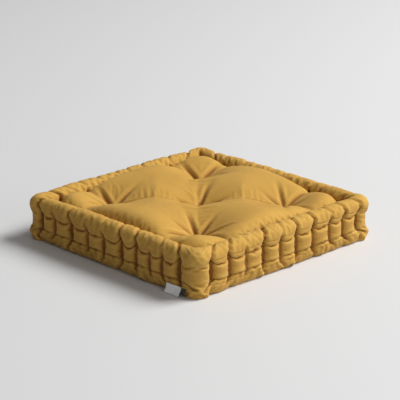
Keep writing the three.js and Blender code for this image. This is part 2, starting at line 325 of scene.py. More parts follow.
class Cover:
    """The cover's cloth as a box of grids: a ring of rows round four sides, and a square above and below.

    The ring's first row is the upper rim and its last the lower rim, and the squares share them.
    """

    def __init__(self, fineness):
        self.cells = CELLS * fineness
        self.roll_rows = ROLL_ROWS * fineness
        self.band_rows = BAND_ROWS * fineness
        self.seam_row = SEAM_ROW * fineness
        self.rows = 2 * self.roll_rows + self.band_rows
        self.round = 4 * self.cells
        self.necks = (self.roll_rows, self.roll_rows + self.band_rows)
        self.ring = np.arange((self.rows + 1) * self.round).reshape(self.rows + 1, self.round)
        self.count = self.ring.size
        self.top = self.square(self.ring[0])
        self.bottom = self.square(self.ring[-1])
        self.u = np.tile(2 * np.arange(self.cells) / self.cells - 1, 4)  # along each side, -1 to 1
        self.first_crease = round((creases(0)[0][0] + 1) / 2 * self.cells)  # the side panels meet in it
        self.faces, self.panels = self.all_faces()
        self.to_crease, self.drawn_in, self.pinched_in, self.crest, self.dip = self.columns()
        self.ear = 1 / (1 + np.exp(-(np.abs(self.u) - 1 + EAR) / EAR_BLUR))

    def columns(self, shift=0.0):
        """Each place's look from its side's creases: distance, drawn in, pinched in, crest and dip.

        Drawn in and pinched in are the hardest exp(-(distance / reach)^1.3), as hard as the band or
        the roll is held there. Crest: 1 - hardness (1 - sin(pi share)^0.5). Dip: the hardest
        exp(-(distance / 15 mm)^2).
        """
        looks = []
        for side in range(4):
            u = self.u[:self.cells]
            places, drawn, pinched, lean = creases(side)
            places = places + SLANTS[side] * shift * lean / HALF
            edges = np.concatenate([[-1 - OVER_CORNER], places, [1 + OVER_CORNER]])
            column = np.clip(np.searchsorted(edges, u) - 1, 0, COLUMNS - 1)
            share = np.clip((u - edges[column]) / (edges[column + 1] - edges[column]), 0, 1)
            away = np.abs(u[:, None] - places) * HALF
            hardness = drawn[away.argmin(1)]
            sharp = np.exp(-((away / CREASE_REACH) ** 1.3))
            looks.append([
                away.min(1), (drawn * sharp).max(1), (pinched * sharp).max(1),
                1 - hardness * (1 - np.sqrt(np.sin(np.pi * share))),
                (pinched * np.exp(-((away / DIP_REACH) ** 2))).max(1),
            ])
        return np.concatenate(looks, 1)

    def square(self, rim):
        """A square index grid whose border is the given rim, walked from the front left corner."""
        n = self.cells
        square = np.zeros((n + 1, n + 1), int)
        step = np.arange(n)
        square[step, 0] = rim[:n]
        square[n, step] = rim[n:2 * n]
        square[n - step, n] = rim[2 * n:3 * n]
        square[0, n - step] = rim[3 * n:]
        square[INSIDE] = self.count + np.arange((n - 1) ** 2).reshape(n - 1, n - 1)
        self.count += (n - 1) ** 2
        return square

    def all_faces(self):
        """Every square cell, facing outwards, and the panel that it is cut from."""
        ahead = np.roll(self.ring, -1, 1)
        ring = np.stack([self.ring[:-1], self.ring[1:], ahead[1:], ahead[:-1]], -1)
        row = np.arange(self.rows)[:, None]
        side = FRONT + (np.arange(self.round)[None, :] - self.first_crease) // self.cells % 4
        below = np.where(row >= self.rows - self.seam_row, BOTTOM, side)
        panel = np.where(row < self.seam_row, TOP, below)
        top, low = self.top, self.bottom
        upper = np.stack([top[:-1, :-1], top[1:, :-1], top[1:, 1:], top[:-1, 1:]], -1)
        lower = np.stack([low[:-1, :-1], low[:-1, 1:], low[1:, 1:], low[1:, :-1]], -1)
        faces = np.concatenate([part.reshape(-1, 4) for part in (ring, upper, lower)])
        each = (self.cells ** 2,)
        return faces, np.concatenate([panel.ravel(), np.full(each, TOP), np.full(each, BOTTOM)])

    def around(self, half, corner):
        """Evenly spaced points round a square of a half-width with rounded corners, for each row."""
        half, corner = half[:, None], corner[:, None]
        length = half - corner + corner * np.pi / 4
        s = self.u[None, :self.cells] * length
        straight = np.minimum(np.abs(s), half - corner)
        angle = (np.abs(s) - straight) / corner
        along = np.sign(s) * (straight + corner * np.sin(angle))
        sides = [np.stack([along, corner - half - corner * np.cos(angle)], -1)]
        for _ in range(3):
            sides.append(np.stack([-sides[-1][..., 1], sides[-1][..., 0]], -1))
        return np.concatenate(sides, 1)

    def assemble(self, ring, top, bottom):
        """All the cover's points in one list, from the ring's and the two squares' grids."""
        points = np.zeros((self.count, ring.shape[-1]))
        points[self.ring] = ring
        points[self.top[INSIDE]] = top[INSIDE]
        points[self.bottom[INSIDE]] = bottom[INSIDE]
        return points

    def flat_square(self, half):
        """The evenly spaced x and y of a square's grid."""
        step = np.linspace(-half, half, self.cells + 1)
        return np.meshgrid(step, step, indexing="ij")

    def profile(self):
        """The section down the cover, out and up: each roll a circle's arc, and the band straight."""
        turn = np.linspace(0, 1, self.roll_rows + 1)
        angle = RIM - TURN * turn
        roll = np.stack([ROLL_H + ROLL_RADIUS * np.cos(angle), UPPER_Z + ROLL_RADIUS * np.sin(angle)], -1)
        lower_roll = np.stack([roll[::-1, 0], LOWER_Z + UPPER_Z - roll[::-1, 1]], -1)
        share = np.linspace(0, 1, self.band_rows + 1)[:, None]
        band = roll[-1] + (lower_roll[0] - roll[-1]) * share
        return np.concatenate([roll, band[1:-1], lower_roll])

    def near_row(self, row, reach):
        """exp(-(rows away / (reach all the rows))^2), down the cover."""
        down = np.arange(self.rows + 1)[:, None]
        return np.exp(-(((down - row) / (reach * self.rows)) ** 2))

    def sewn(self):
        """Where the cover lies once it is stitched, before the stuffing swells it."""
        profile = self.profile()
        corner = CORNER + np.maximum(0, profile[:, 0] - FIELD) * 0.6
        plan = self.around(profile[:, 0], corner)
        height = np.broadcast_to(profile[:, 1][:, None, None], (*plan.shape[:2], 1))
        ring = np.concatenate([plan, height], -1)
        outward = level_outward(self.around(np.array([HALF]), np.array([0.03]))[0])[None]
        self.swell_rolls(ring, profile, outward)
        self.draw_necks(ring, plan[:1], outward)
        self.bulge_band(ring, profile[:, :1], outward)
        x, y = self.flat_square(FIELD)
        from_rim = FIELD - np.maximum(np.abs(x), np.abs(y))
        pressed = [
            np.maximum(0, hollow(distance, reach) * (1 + FLOOR_PRESS) - FLOOR_PRESS)
            for distance, reach in ((from_rim, RIM_REACH), (tuft_distance(x, y), TUFT_REACH))
        ]
        bottom = np.maximum(LOWER_RIM_Z * pressed[0], TUFT_BOTTOM * pressed[1])
        return self.assemble(ring, np.stack([x, y, self.lobes(x, y)], -1), np.stack([x, y, bottom], -1))

    def swell_rolls(self, ring, profile, outward):
        """Moves each roll's points away from its middle, as its stitches let it, aslant along it.

        By their distance times SWELL (1 - dip) - pinch (0.45 + 0.55 share towards the neck)
        pinched in, and an unevenness.
        """
        first, second = self.necks
        for begin, end, upper, centre in ((0, first, 1, UPPER_Z), (second, self.rows, 0, LOWER_Z)):
            rows = np.arange(begin, end + 1)
            share = (rows - begin) / (end - begin)
            shifts = SKEW * (1 - share if upper else share)
            looks = np.array([self.columns(shift) for shift in shifts])
            toward_neck = share[:, None] if upper else 1 - share[:, None]
            pinch = PINCH if upper else LOWER_PINCH
            swell = SWELL * (1 - looks[:, 4]) - pinch * (0.45 + 0.55 * toward_neck) * looks[:, 2]
            swell = swell + ROLL_UNEVEN * smooth_noise(ring[rows], 0.13, 5 + upper)
            if not upper:
                swell = swell * (1 - self.ear)
            out = (profile[rows, 0] - ROLL_H)[:, None] * swell
            ring[rows, :, :2] += out[..., None] * outward
            ring[rows, :, 2] += (profile[rows, 1] - centre)[:, None] * swell

    def draw_necks(self, ring, rim_plan, outward):
        """Lets the upper roll sag over the band between its stitches, and draws both necks in at theirs.

        Sag: DROOP hang (0.45 - dip) near the upper neck. In at a neck: NECK_DEPTH times how hard it is
        held, less a fill between the creases.
        """
        hang = np.repeat(HANG, self.cells)
        for _ in range(2):  # blended round the corners
            steps = range(-self.cells // 12, self.cells // 12 + 1)
            hang = np.mean([np.roll(hang, step) for step in steps], axis=0)
        first, second = self.necks
        sag = self.near_row(first, DROOP_REACH) * DROOP * hang * (0.45 - self.dip)
        ring[..., 2] -= sag * (1 + 0.4 * smooth_noise(rim_plan, 0.12, 8))
        for neck, held, fill in ((first, self.pinched_in, 1.0), (second, self.drawn_in, 1.5)):
            tied = NECK_DEPTH * held - fill * NECK_FILL * (1.7 - hang) * (1 - self.dip) * (1 - self.ear)
            ring[..., :2] -= (self.near_row(neck, NECK_REACH) * tied)[..., None] * outward

    def bulge_band(self, ring, half, outward):
        """Bulges the band by sin(pi share down it)^0.6 times CREST_BULGE crest - CREASE_DEPTH drawn in.

        Towards the corners its ears take over, which fill the neck and run straight down to the floor.
        """
        down = np.arange(self.rows + 1)[:, None]
        first = self.necks[0]
        in_band = np.clip((down - first) / self.band_rows, 0, 1)
        across = CREST_BULGE * self.crest - CREASE_DEPTH * self.drawn_in
        bulge = np.sin(np.pi * in_band) ** 0.6 * across
        to_floor = np.clip((down - first) / (0.72 * self.rows - first), 0, 1)
        from_neck = np.clip((down - first) / (NECK_REACH * self.rows) + 1, 0, 1)
        depth = np.maximum(0, HALF - 0.002 - half) * from_neck
        depth = depth * np.clip((0.96 * self.rows - down) / (0.14 * self.rows), 0, 1)
        ear = (0.9 + 0.1 * np.sin(np.pi / 2 * to_floor)) * depth * self.ear
        ear = ear - EAR_CREASE * self.drawn_in * self.ear * (in_band > 0)
        ring[..., :2] += (bulge * (1 - self.ear) + ear)[..., None] * outward

    def lobes(self, x, y):
        """The field's height: lobe - troughs, then drawn down to the rim and to the tufts, and pleated.

        Drawn down by (height - rim) hollow(distance to the rim) and then by
        (height - tuft) hollow(distance to the tuft).
        """
        places = np.stack([x, y], -1)
        from_rim = FIELD - (np.abs(x) ** 9 + np.abs(y) ** 9) ** (1 / 9)
        top = LOBE_Z - troughs(places) + LOBE_UNEVEN * smooth_noise(places, 0.20, 21)
        top -= (top - RIM_Z) * hollow(from_rim, RIM_REACH)
        top -= (top - TUFT_TOP) * hollow(tuft_distance(x, y), TUFT_REACH)
        for depth in pleats(x, y):
            top -= depth
        return top

    def ease(self):
        """How much longer than its sewn place the cloth is cut, round the cover and down it."""
        down = np.arange(self.rows + 1)
        cell = TURN * ROLL_RADIUS / self.roll_rows
        ends = np.array([0, *self.necks, self.rows])
        gathered = np.exp(-((np.abs(down[:, None] - ends).min(1) * cell / GATHER_REACH) ** 2))
        in_band = (down >= self.necks[0]) & (down <= self.necks[1])
        lower = down > self.necks[1]
        at_rim = np.exp(-((np.minimum(down, self.rows - down) * cell / GATHER_REACH) ** 2))
        round_it = np.where(in_band, BAND_ROUND, ROLL_ROUND + LOWER_ROUND * lower)
        round_it = round_it + GATHER * gathered + RIM_GATHER * at_rim
        down_it = np.where(in_band, BAND_DOWN, ROLL_DOWN)
        # on the field, spare cloth lies round each tuft and along each rim
        x, y = self.flat_square(FIELD)
        nearest = np.argmin([np.hypot(x - tuft[0], y - tuft[1]) for tuft in TUFT_POINTS], axis=0)
        from_tuft = np.stack([x, y], -1) - TUFT_POINTS[nearest][..., :2]
        away = np.linalg.norm(from_tuft, axis=-1) + 1e-9
        round_tuft = TUFT_EASE * np.exp(-((away / TUFT_EASE_REACH) ** 2))
        from_rim = FIELD - np.maximum(np.abs(x), np.abs(y))
        along_rim = RIM_EASE * np.exp(-((from_rim / RIM_EASE_REACH) ** 2))
        by_x = np.abs(x) > np.abs(y)
        in_x = round_tuft * (from_tuft[..., 1] / away) ** 2 + along_rim * ~by_x
        in_y = round_tuft * (from_tuft[..., 0] / away) ** 2 + along_rim * by_x
        eases = []
        for rows, field in ((round_it, in_y), (down_it, in_x)):
            ring = np.broadcast_to(rows[:, None, None], (self.rows + 1, self.round, 1))
            eases.append(1 + self.assemble(ring, field[..., None], 0 * field[..., None])[:, 0])
        return eases

    def finer(self, points, fine):
        """The same cloth on a grid twice as fine."""
        grids = ((self.ring, True), (self.top, False), (self.bottom, False))
        finer = [half_steps(half_steps(points[grid], 0, False), 1, wrap) for grid, wrap in grids]
        return fine.assemble(*finer)

    def links(self):
        """Pairs of vertices that the cloth joins, in sets that share no vertex, as LINKS says."""
        sets = []
        for grid, wraps in ((self.ring, True), (self.top, False)):
            row, column = np.indices(grid.shape)
            for down, across, way, pull, push in LINKS:
                ahead = np.roll(grid, (-down, -across), (0, 1))
                valid = row < grid.shape[0] - down
                if not wraps:
                    push = push * FIELD_STIFFNESS
                    valid &= (column + across < grid.shape[1]) & (column + across >= 0)
                parity = (row // down if down else column // across) % 2
                for half in (0, 1):
                    chosen = valid & (parity == half)
                    sets.append((grid[chosen], ahead[chosen], way, pull, push))
        return sets


class Stuffing:
    """Settles the cover by position-based dynamics: links keep their cut lengths, pressure swells it."""

    def __init__(self, cover, points):
        self.cover = cover
        self.points = points.copy()
        self.last = points.copy()
        self.sewn = cover.sewn()
        self.out = vertex_normals(self.sewn, cover.faces)
        loft = np.full((cover.rows + 1, cover.round, 1), ROLL_LOFT)
        loft[cover.necks[0]:cover.necks[1]] = BAND_LOFT
        field = np.full((*cover.top.shape, 1), FIELD_LOFT)
        self.loft = cover.assemble(loft, field, field)[:, 0]
        self.hold()
        self.batches = []
        eases = cover.ease()
        for a, b, way, pull, push in cover.links():
            total = self.free[a] + self.free[b]
            a, b, total = a[total > 0], b[total > 0], total[total > 0]
            ease = (eases[way][a] + eases[way][b]) / 2 if way < 2 else (eases[0] + eases[1])[a] / 2
            length = np.linalg.norm(self.sewn[a] - self.sewn[b], axis=1) * ease
            shares = ((self.free[a] / total)[:, None], (self.free[b] / total)[:, None])
            self.batches.append((a, b, length, pull, push, *shares))

    def hold(self):
        """Finds the stitches and tufts: firm ones stay in place, and the lines between them give."""
        cover, sewn = self.cover, self.sewn
        firm = np.zeros(cover.count, bool)
        firm[cover.bottom] = True
        soft = np.zeros(cover.count)
        rim = cover.columns(SKEW)
        rim_stitch, stitch = rim[0] < STITCH_REACH, cover.to_crease < STITCH_REACH
        soft[cover.ring[0]] = np.where(rim_stitch, LOOSE_GRIP + STITCH_GRIP * rim[2], RIM_GRIP)
        in_crease, between = LOOSE_GRIP + STITCH_GRIP * cover.pinched_in, NECK_GRIP * (1 - 0.8 * cover.ear)
        soft[cover.ring[cover.necks[0]]] = np.where(stitch, in_crease, between)
        soft[cover.ring[cover.necks[1]]] = np.where(stitch, STITCH_GRIP, LOWER_NECK_GRIP) * (1 - cover.ear)
        crease = cover.to_crease < BAND_CREASE_REACH
        for row in range(cover.necks[0] + 1, cover.necks[1]):
            soft[cover.ring[row][crease]] = STITCH_GRIP * cover.drawn_in[crease]
        xy = sewn[cover.top][..., :2]
        firm[cover.top[tuft_distance(xy[..., 0], xy[..., 1]) < TUFT_RADIUS]] = True
        self.free = np.where(firm, 0.0, 1.0)
        self.held = np.nonzero(soft)[0]
        self.grip = soft[self.held][:, None]
        self.target = sewn[self.held]

    def step(self, pressure, rounds, damping=0.9):
        """One move: last move times damping, and pressure along the normals, then rounds of holding.

        The pressure falls off as 1 - risen / loft. A link moves its ends by its stiffness times
        (span - length) / span, shared between them, and nothing goes under the floor.
        """
        free = self.free[:, None]
        risen = np.einsum("ij,ij->i", self.points - self.sewn, self.out)
        push = pressure * np.clip(1 - risen / self.loft, -1, 1)
        normals = vertex_normals(self.points, self.cover.faces)
        motion = (self.points - self.last) * damping + push[:, None] * normals
        self.last = self.points.copy()
        self.points = self.points + motion * free
        x = self.points
        for _ in range(rounds):
            for a, b, length, pull, push, share_a, share_b in self.batches:
                at_a, at_b = x.take(a, 0), x.take(b, 0)
                gap = at_b - at_a
                span = np.sqrt(np.einsum("ij,ij->i", gap, gap)) + 1e-9
                excess = span - length
                gap *= (np.where(excess > 0, pull, push) * excess / span)[:, None]
                x[a] = at_a + share_a * gap
                x[b] = at_b - share_b * gap
            x[self.held] += self.grip * (self.target - x[self.held])
            x[:, 2] = np.maximum(x[:, 2], 0)

    def settle(self, steps, pressure, rounds):
        """Where the points lie after so many steps."""
        for _ in range(steps):
            self.step(pressure, rounds)
        return self.points


def roughened(points, amount, wavelength, seed):
    """The points moved by a little noise, so that folds have somewhere to start, except on the floor."""
    return points + amount * smooth_noise(points, wavelength, seed)[:, None] * (points[:, 2:] > 0.001)


def new_object(name, points, face_sets):
    """A new object with a mesh of the points and of the faces in each set, in turn."""
    mesh = bpy.data.meshes.new(name)
    mesh.from_pydata(points.tolist(), [], [face for faces in face_sets for face in faces.tolist()])
    made = bpy.data.objects.new(name, mesh)
    bpy.context.scene.collection.objects.link(made)
    return made


# ---- Settling the cover ----
cover = Cover(2)
coarse = Cover(1)
start = roughened(coarse.sewn(), 0.0012, 0.045, 11)
settled = Stuffing(coarse, start).settle(steps=STEPS, pressure=PRESSURE, rounds=6)
start = roughened(coarse.finer(settled, cover), 0.0004, 0.016, 12)
cloth = Stuffing(cover, start).settle(steps=FINE_STEPS, pressure=PRESSURE / 3, rounds=8)


# ---- Colours ----
OCHRE = (0.515, 0.288, 0.050)
# OCHRE_DEEP is also the colour of the painted shade in folds and on cloth facing sideways, and OCHRE_PALE the
# colour of the painted highlight on ridges. Both also tint the real random mottling and grain.
OCHRE_DEEP = (0.25, 0.088, 0.016)
OCHRE_PALE = (0.70, 0.445, 0.100)


def node(tree, kind, at=(0, 0), **settings):
    """A new shader node with its settings."""
    made = tree.nodes.new(kind)
    made.location = at
    for name, value in settings.items():
        setattr(made, name, value)
    return made


def calc(tree, operation, first, second=None, third=None, clamp=False):
    """A Math node; each input is a number or a socket."""
    made = node(tree, "ShaderNodeMath", operation=operation, use_clamp=clamp)
    for socket, value in zip(made.inputs, (first, second, third)):
        if value is None:
            continue
        if isinstance(value, (int, float)):
            socket.default_value = value
        else:
            tree.links.new(value, socket)
    return made.outputs[0]


def blend(tree, share, first, second):
    """A colour between two; each is a colour or a socket, and the share a number or a socket."""
    made = node(tree, "ShaderNodeMix", data_type="RGBA")
    for socket, value in zip((made.inputs[0], made.inputs[6], made.inputs[7]), (share, first, second)):
        if isinstance(value, tuple):
            socket.default_value = (*value, 1)
        elif isinstance(value, (int, float)):
            socket.default_value = value
        else:
            tree.links.new(value, socket)
    return made.outputs[2]


def ramp(tree, value, low, high, first=0.0, last=1.0):
    """A smooth step from first to last while the value goes from low to high."""
    made = node(tree, "ShaderNodeMapRange", interpolation_type="SMOOTHSTEP")
    tree.links.new(value, made.inputs["Value"])
    for name, number in (("From Min", low), ("From Max", high), ("To Min", first), ("To Max", last)):
        made.inputs[name].default_value = number
    return made.outputs["Result"]


def noise(tree, vector, scale, detail=2.0, roughness=0.5):
    """A Noise node's value, from 0 to 1."""
    made = node(tree, "ShaderNodeTexNoise")
    made.inputs["Scale"].default_value = scale
    made.inputs["Detail"].default_value = detail
    made.inputs["Roughness"].default_value = roughness
    tree.links.new(vector, made.inputs["Vector"])
    return made.outputs["Fac"]


def stretched(tree, vector, factors):
    """A vector socket with each of its parts multiplied by a factor."""
    made = node(tree, "ShaderNodeVectorMath", operation="MULTIPLY")
    made.inputs[1].default_value = factors
    tree.links.new(vector, made.inputs[0])
    return made.outputs[0]


def group(name, inputs, outputs):
    """An empty node group with named sockets, each (name, kind, default)."""
    tree = bpy.data.node_groups.new(name, "ShaderNodeTree")
    for label, kind, default in inputs:
        socket = tree.interface.new_socket(label, in_out="INPUT", socket_type=f"NodeSocket{kind}")
        if default is not None:
            socket.default_value = default
    for label, kind in outputs:
        tree.interface.new_socket(label, in_out="OUTPUT", socket_type=f"NodeSocket{kind}")
    given = node(tree, "NodeGroupInput", (-900, 0)).outputs
    return tree, given, node(tree, "NodeGroupOutput", (900, 0)).inputs


def placed(tree, shared, **values):
    """A shared effect placed in a material, with its own values or sockets."""
    made = node(tree, "ShaderNodeGroup", node_tree=shared)
    for label, value in values.items():
        socket = made.inputs[label.replace("_", " ")]
        if isinstance(value, tuple):
            socket.default_value = (*value, 1)
        elif isinstance(value, (int, float)):
            socket.default_value = value
        else:
            tree.links.new(value, socket)
    return made.outputs


def plain_weave():
    """Over and under threads on a flat pattern: the height is |sin| of the thread that lies on top."""
    tree, given, result = group(
        "plain weave",
        [("Pattern", "Vector", None), ("Pitch", "Float", 0.0008)],
        [("Height", "Float"), ("Slub", "Float")],
    )
    split = node(tree, "ShaderNodeSeparateXYZ")
    tree.links.new(given["Pattern"], split.inputs[0])
    half_turn = calc(tree, "DIVIDE", math.pi, given["Pitch"])
    warp = calc(tree, "SINE", calc(tree, "MULTIPLY", split.outputs[0], half_turn))
    weft = calc(tree, "SINE", calc(tree, "MULTIPLY", split.outputs[1], half_turn))
    over = calc(tree, "GREATER_THAN", calc(tree, "MULTIPLY", warp, weft), 0.0)
    up, across = calc(tree, "ABSOLUTE", warp), calc(tree, "ABSOLUTE", weft)
    height = calc(tree, "ADD", calc(tree, "MULTIPLY", up, over),
                  calc(tree, "MULTIPLY", across, calc(tree, "SUBTRACT", 1.0, over)))
    # thick places in single threads, long one way and thin the other
    slubs = [
        noise(tree, stretched(tree, given["Pattern"], factors), 1.0, 1.0)
        for factors in ((90, 900, 1), (900, 90, 1))
    ]
    slub = calc(tree, "MULTIPLY", calc(tree, "ADD", *slubs), 0.5)
    tree.links.new(calc(tree, "MULTIPLY_ADD", slub, 0.5, height), result["Height"])
    tree.links.new(slub, result["Slub"])
    return tree


def soft_wrinkles():
    """Small creases that stuffing and washing leave: ridged noise, in patches."""
    tree, given, result = group(
        "soft wrinkles", [("Place", "Vector", None), ("Size", "Float", 60.0)], [("Height", "Float")]
    )
    made = node(tree, "ShaderNodeTexNoise")
    made.inputs["Detail"].default_value = 3.0
    made.inputs["Distortion"].default_value = 0.6
    tree.links.new(given["Place"], made.inputs["Vector"])
    tree.links.new(given["Size"], made.inputs["Scale"])
    ridge = calc(tree, "ABSOLUTE", calc(tree, "SUBTRACT", made.outputs["Fac"], 0.5))
    patch = ramp(tree, noise(tree, given["Place"], 11.0, 2.0), 0.42, 0.62)
    tree.links.new(calc(tree, "MULTIPLY", ramp(tree, ridge, 0.0, 0.09, 0.0, 1.0), patch), result["Height"])
    return tree


def dye_with_painted_light():
    """The dye's mottling and grain, with painted light: a painted highlight where cloth stands proud, painted
    shade where it faces sideways or down, and deeper, redder painted shade in its hollows.
    """
    tree, given, result = group(
        "dye with painted light",
        [("Place", "Vector", None), ("Facing", "Vector", None),
         ("Hollow", "Float", 0.0), ("Slub", "Float", 0.5),
         ("Base", "Color", None), ("Deep", "Color", None), ("Pale", "Color", None)],
        [("Color", "Color"), ("Roughness", "Float")],
    )
    broad = ramp(tree, noise(tree, given["Place"], 7.0, 3.0), 0.35, 0.68)
    fine = noise(tree, given["Place"], 420.0, 2.0, 0.6)
    # Painted highlight: convex cloth, standing proud of its neighbours, is drawn paler.
    proud = ramp(tree, given["Hollow"], -0.1, -0.75)
    # Painted shade: cloth in a fold is drawn deeper and redder. The same mask also roughens it a little.
    deep = ramp(tree, given["Hollow"], 0.12, 0.9)
    facing = node(tree, "ShaderNodeSeparateXYZ")
    tree.links.new(given["Facing"], facing.inputs[0])
    # Painted shade: cloth that faces sideways or down is drawn deeper than cloth that faces up.
    painted_side_shade = ramp(tree, facing.outputs[2], 0.85, -0.2, 0.0, 0.22)
    # The painted ridge highlight together with a broad random mottling of the dye, both towards the pale
    # colour.
    highlight_and_mottle = calc(tree, "MULTIPLY", calc(tree, "ADD", proud, calc(tree, "MULTIPLY", broad, 0.5)), 0.30)
    colour = blend(tree, highlight_and_mottle, blend(tree, painted_side_shade, given["Base"], given["Deep"]), given["Pale"])
    colour = blend(tree, calc(tree, "MULTIPLY", deep, 0.8), colour, given["Deep"])
    grain = calc(tree, "ADD", calc(tree, "MULTIPLY", fine, 0.5), calc(tree, "MULTIPLY", given["Slub"], 0.5))
    speckle = calc(tree, "MULTIPLY", ramp(tree, grain, 0.36, 0.66), 0.16)
    colour = blend(tree, speckle, colour, given["Deep"])
    tree.links.new(colour, result["Color"])
    roughness = calc(tree, "MULTIPLY_ADD", fine, 0.1, 0.78)
    tree.links.new(calc(tree, "MULTIPLY_ADD", deep, 0.06, roughness), result["Roughness"])
    return tree


def twisted_strands():
    """Strands that wind round a thread, on a map with one way along it and the other round it."""
    tree, given, result = group(
        "twisted strands",
        [("Map", "Vector", None), ("Turns", "Float", 300.0), ("Strands", "Float", 3.0)],
        [("Height", "Float")],
    )
    split = node(tree, "ShaderNodeSeparateXYZ")
    tree.links.new(given["Map"], split.inputs[0])
    wound = calc(tree, "ADD", calc(tree, "MULTIPLY", split.outputs[0], given["Turns"]),
                 calc(tree, "MULTIPLY", split.outputs[1], given["Strands"]))
    wave = calc(tree, "SINE", calc(tree, "MULTIPLY", wound, math.pi))
    tree.links.new(calc(tree, "ABSOLUTE", wave), result["Height"])
    return tree


def loose_fibres():
    """Matted fibres: two stretched noises, crossed."""
    tree, given, result = group("loose fibres", [("Place", "Vector", None)], [("Height", "Float")])
    parts = [
        noise(tree, stretched(tree, given["Place"], factors), 1.0, 3.0)
        for factors in ((60, 700, 260), (640, 90, 420))
    ]
    tree.links.new(calc(tree, "MAXIMUM", *parts), result["Height"])
    return tree


WEAVE, WRINKLES, DYE_WITH_PAINTED_LIGHT = plain_weave(), soft_wrinkles(), dye_with_painted_light()
STRANDS, FIBRES = twisted_strands(), loose_fibres()


def material(name):
    """A new material with its tree, its shader and the places that its textures can use."""
    made = bpy.data.materials.new(name)
    made.use_nodes = True
    tree = made.node_tree
    shader = tree.nodes["Principled BSDF"]
    place = node(tree, "ShaderNodeTexCoord", (-900, -300)).outputs
    return made, tree, shader, place


def bump(tree, shader, height, distance, strength=1.0, under=None):
    """Relief from a height, over another relief if there is one, joined to the shader."""
    made = node(tree, "ShaderNodeBump")
    made.inputs["Distance"].default_value = distance
    made.inputs["Strength"].default_value = strength
    tree.links.new(height, made.inputs["Height"])
    if under is not None:
        tree.links.new(under, made.inputs["Normal"])
    tree.links.new(made.outputs[0], shader.inputs["Normal"])
    return made.outputs[0]


def cotton(name, base, deep, pale, pitch=0.0009):
    """Plain-woven cotton: weave and wrinkles in its relief, mottled dye with painted highlight and painted
    shade, and a soft sheen.
    """
    made, tree, shader, place = material(name)
    hollow_mask = node(tree, "ShaderNodeAttribute", attribute_name="hollow").outputs["Fac"]
    weave = placed(tree, WEAVE, Pattern=place["UV"], Pitch=pitch)
    # The cotton's colour: its dye, with painted shade in folds and on side-facing cloth and a painted
    # highlight on ridges.
    dye = placed(
        tree, DYE_WITH_PAINTED_LIGHT, Place=place["Object"], Facing=place["Normal"], Hollow=hollow_mask,
        Slub=weave["Slub"], Base=base, Deep=deep, Pale=pale,
    )
    wrinkles = placed(tree, WRINKLES, Place=place["Object"], Size=24.0)
    tree.links.new(dye["Color"], shader.inputs["Base Color"])
    tree.links.new(dye["Roughness"], shader.inputs["Roughness"])
    folded = bump(tree, shader, wrinkles["Height"], 0.0005, 0.5)
    bump(tree, shader, weave["Height"], 0.00022, 0.6, folded)
    shader.inputs["Sheen Weight"].default_value = 0.12
    shader.inputs["Sheen Roughness"].default_value = 0.45
    shader.inputs["Sheen Tint"].default_value = (1.0, 0.82, 0.5, 1)
    shader.inputs["Specular IOR Level"].default_value = 0.25
    return made


def thread(name, base, deep):
    """Twisted cotton thread: strands wound round it, with painted shade between them."""
    made, tree, shader, place = material(name)
    wound = placed(tree, STRANDS, Map=place["UV"], Turns=330.0, Strands=3.0)
    fuzz = noise(tree, place["Object"], 900.0, 2.0)
    # Painted shade in the grooves between the strands, with a little random fuzz.
    depth = calc(tree, "MULTIPLY_ADD", fuzz, 0.3, calc(tree, "MULTIPLY", wound["Height"], 0.7))
    tree.links.new(blend(tree, depth, deep, base), shader.inputs["Base Color"])
    tree.links.new(calc(tree, "MULTIPLY_ADD", fuzz, 0.2, 0.5), shader.inputs["Roughness"])
    bump(tree, shader, depth, 0.0004, 0.8)
    shader.inputs["Sheen Weight"].default_value = 0.2
    return made


def wadding(name):
    """Matted cotton fibre, off-white and flecked, with painted shade where its fibres lie low."""
    made, tree, shader, place = material(name)
    fibres = placed(tree, FIBRES, Place=place["Object"])
    flecks = ramp(tree, noise(tree, place["Object"], 150.0, 3.0), 0.62, 0.72)
    # Painted shade: the low places of the fibre relief are drawn darker and browner.
    pale = blend(tree, fibres["Height"], (0.42, 0.36, 0.27), (0.83, 0.79, 0.69))
    flecked = blend(tree, calc(tree, "MULTIPLY", flecks, 0.5), pale, (0.30, 0.22, 0.13))
    tree.links.new(flecked, shader.inputs["Base Color"])
    tree.links.new(calc(tree, "MULTIPLY_ADD", fibres["Height"], 0.1, 0.85), shader.inputs["Roughness"])
    bump(tree, shader, fibres["Height"], 0.0015, 0.9)
    shader.inputs["Sheen Weight"].default_value = 0.3
    return made


def satin(name, base, deep, shine):
    """Woven satin tape: long fine ribs, a little grubby at its edges."""
    made, tree, shader, place = material(name)
    weave = placed(tree, WEAVE, Pattern=place["UV"], Pitch=0.00045)
    grime = ramp(tree, noise(tree, place["Object"], 90.0, 4.0), 0.45, 0.75)
    colour = blend(tree, calc(tree, "MULTIPLY", grime, 0.22), base, deep)
    shade = calc(tree, "MULTIPLY", calc(tree, "SUBTRACT", 1.0, weave["Height"]), 0.10, clamp=True)
    tree.links.new(blend(tree, shade, colour, deep), shader.inputs["Base Color"])
    tree.links.new(calc(tree, "MULTIPLY_ADD", grime, 0.15, shine), shader.inputs["Roughness"])
    bump(tree, shader, weave["Height"], 0.00010, 0.5)
    shader.inputs["Sheen Weight"].default_value = 0.1
    return made


COTTON = cotton("ochre cotton", OCHRE, OCHRE_DEEP, OCHRE_PALE)
COTTON_THREAD = thread("ochre thread", (0.50, 0.26, 0.045), (0.20, 0.085, 0.014))
WADDING = wadding("fibre wadding")
WHITE_SATIN = satin("white satin", (0.95, 0.95, 0.94), (0.55, 0.52, 0.46), 0.38)
BLACK_SATIN = satin("black satin", (0.020, 0.020, 0.022), (0.06, 0.055, 0.05), 0.34)


